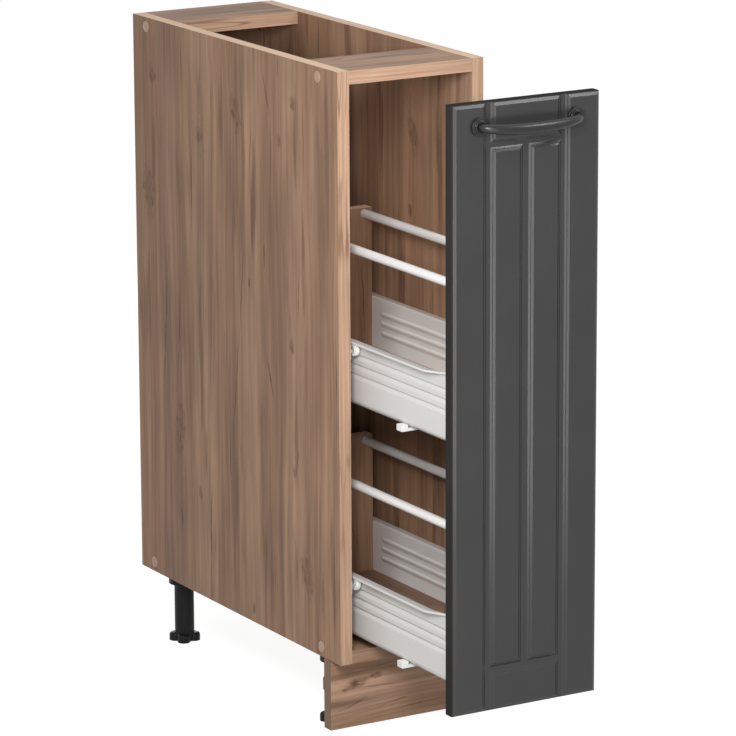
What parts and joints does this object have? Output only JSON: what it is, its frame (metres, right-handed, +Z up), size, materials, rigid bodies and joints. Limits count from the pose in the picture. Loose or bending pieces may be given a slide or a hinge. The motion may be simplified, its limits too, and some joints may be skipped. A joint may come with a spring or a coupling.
{
  "type": "pull-out pantry cabinet",
  "caption": "Narrow kitchen base unit on adjustable legs whose tall front slides out with metal-sided drawers and gallery rods on roller runners.",
  "frame": {"origin": "on the floor, in the middle of the unit as it stands in the picture, part-way open", "axes": "+X to the right as seen from the front, +Y to the wall behind, +Z up"},
  "size_m": [0.2028, 0.7962, 0.81],
  "materials": {
    "oak_board": "oak-decor laminate with vertical grain, satin",
    "back_board": "thin fibreboard in a brown wood tone",
    "front_foil": "milled fibreboard in dark grey foil, satin",
    "handle_black": "cast metal, satin black",
    "white_steel": "sheet steel, white powder coat",
    "zinc_steel": "zinc-plated steel",
    "black_plastic": "moulded black plastic",
    "white_plastic": "moulded white plastic",
    "cap_plastic": "moulded plastic in the board's colour"
  },
  "bodies": {
    "carcass": {"back_panel": "back_board", "back_panel_nails": "zinc_steel", "bottom_panel": "oak_board", "cabinet_roller_pins": "zinc_steel", "confirmat_screws": "zinc_steel", "cover_caps": "cap_plastic", "front_left_leg": "black_plastic", "front_right_leg": "black_plastic", "front_top_rail": "oak_board", "left_side_panel": "oak_board", "lower_left_runner": "white_steel", "lower_right_runner": "white_steel", "plinth_board": "oak_board", "plinth_clip_screws": "zinc_steel", "plinth_clips": "black_plastic", "rear_left_leg": "black_plastic", "rear_right_leg": "black_plastic", "rear_top_rail": "oak_board", "right_side_panel": "oak_board", "runner_screws": "zinc_steel", "upper_left_runner": "white_steel", "upper_right_runner": "white_steel"},
    "pullout": {"base_clip_screws": "zinc_steel", "base_clips": "white_plastic", "drawer_roller_pins": "zinc_steel", "front_fixing_screws": "zinc_steel", "front_panel": "front_foil", "handle_bow": "handle_black", "handle_rosettes": "handle_black", "handle_screws": "zinc_steel", "lower_base_panel": "oak_board", "lower_left_drawer_side": "white_steel", "lower_left_rod": "white_steel", "lower_rear_board": "oak_board", "lower_right_drawer_side": "white_steel", "lower_right_rod": "white_steel", "rear_board_screws": "zinc_steel", "rod_screws": "zinc_steel", "rod_sockets": "white_plastic", "upper_base_panel": "oak_board", "upper_left_drawer_side": "white_steel", "upper_left_rod": "white_steel", "upper_rear_board": "oak_board", "upper_right_drawer_side": "white_steel", "upper_right_rod": "white_steel"},
    "lower_left_cabinet_roller": {"lower_left_cabinet_roller": "white_plastic"},
    "lower_left_drawer_roller": {"lower_left_drawer_roller": "white_plastic"},
    "lower_right_cabinet_roller": {"lower_right_cabinet_roller": "white_plastic"},
    "lower_right_drawer_roller": {"lower_right_drawer_roller": "white_plastic"},
    "upper_left_cabinet_roller": {"upper_left_cabinet_roller": "white_plastic"},
    "upper_left_drawer_roller": {"upper_left_drawer_roller": "white_plastic"},
    "upper_right_cabinet_roller": {"upper_right_cabinet_roller": "white_plastic"},
    "upper_right_drawer_roller": {"upper_right_drawer_roller": "white_plastic"},
    "front_left_foot": {"front_left_foot": "black_plastic"},
    "front_right_foot": {"front_right_foot": "black_plastic"},
    "rear_left_foot": {"rear_left_foot": "black_plastic"},
    "rear_right_foot": {"rear_right_foot": "black_plastic"}
  },
  "joints": [
    {"name": "pullout_slide", "type": "slide", "parent": "carcass", "child": "pullout", "axis": [0, -1, 0], "range_m": [-0.235, 0.119]},
    {"name": "lower_left_cabinet_roller_spin", "type": "hinge", "parent": "carcass", "child": "lower_left_cabinet_roller", "pos_m": [-0.0748, -0.10845, 0.1876], "axis": [1, 0, 0], "continuous": true},
    {"name": "lower_left_drawer_roller_spin", "type": "hinge", "parent": "pullout", "child": "lower_left_drawer_roller", "pos_m": [-0.07605, 0.09435, 0.1856], "axis": [1, 0, 0], "continuous": true},
    {"name": "lower_right_cabinet_roller_spin", "type": "hinge", "parent": "carcass", "child": "lower_right_cabinet_roller", "pos_m": [0.0748, -0.10845, 0.1876], "axis": [1, 0, 0], "continuous": true},
    {"name": "lower_right_drawer_roller_spin", "type": "hinge", "parent": "pullout", "child": "lower_right_drawer_roller", "pos_m": [0.07605, 0.09435, 0.1856], "axis": [1, 0, 0], "continuous": true},
    {"name": "upper_left_cabinet_roller_spin", "type": "hinge", "parent": "carcass", "child": "upper_left_cabinet_roller", "pos_m": [-0.0748, -0.10845, 0.4756], "axis": [1, 0, 0], "continuous": true},
    {"name": "upper_left_drawer_roller_spin", "type": "hinge", "parent": "pullout", "child": "upper_left_drawer_roller", "pos_m": [-0.07605, 0.09435, 0.4736], "axis": [1, 0, 0], "continuous": true},
    {"name": "upper_right_cabinet_roller_spin", "type": "hinge", "parent": "carcass", "child": "upper_right_cabinet_roller", "pos_m": [0.0748, -0.10845, 0.4756], "axis": [1, 0, 0], "continuous": true},
    {"name": "upper_right_drawer_roller_spin", "type": "hinge", "parent": "pullout", "child": "upper_right_drawer_roller", "pos_m": [0.07605, 0.09435, 0.4736], "axis": [1, 0, 0], "continuous": true},
    {"name": "front_left_foot_screw", "type": "slide", "parent": "carcass", "child": "front_left_foot", "axis": [0, 0, -1], "range_m": [0, 0.015]},
    {"name": "front_right_foot_screw", "type": "slide", "parent": "carcass", "child": "front_right_foot", "axis": [0, 0, -1], "range_m": [0, 0.015]},
    {"name": "rear_left_foot_screw", "type": "slide", "parent": "carcass", "child": "rear_left_foot", "axis": [0, 0, -1], "range_m": [0, 0.015]},
    {"name": "rear_right_foot_screw", "type": "slide", "parent": "carcass", "child": "rear_right_foot", "axis": [0, 0, -1], "range_m": [0, 0.015]}
  ],
  "couplings": [
    {"joint": "lower_left_cabinet_roller_spin", "follows": "pullout_slide", "rad_per_m": 121.95},
    {"joint": "lower_left_drawer_roller_spin", "follows": "pullout_slide", "rad_per_m": 142.86},
    {"joint": "lower_right_cabinet_roller_spin", "follows": "pullout_slide", "rad_per_m": 121.95},
    {"joint": "lower_right_drawer_roller_spin", "follows": "pullout_slide", "rad_per_m": 142.86},
    {"joint": "upper_left_cabinet_roller_spin", "follows": "pullout_slide", "rad_per_m": 121.95},
    {"joint": "upper_left_drawer_roller_spin", "follows": "pullout_slide", "rad_per_m": 142.86},
    {"joint": "upper_right_cabinet_roller_spin", "follows": "pullout_slide", "rad_per_m": 121.95},
    {"joint": "upper_right_drawer_roller_spin", "follows": "pullout_slide", "rad_per_m": 142.86}
  ]
}
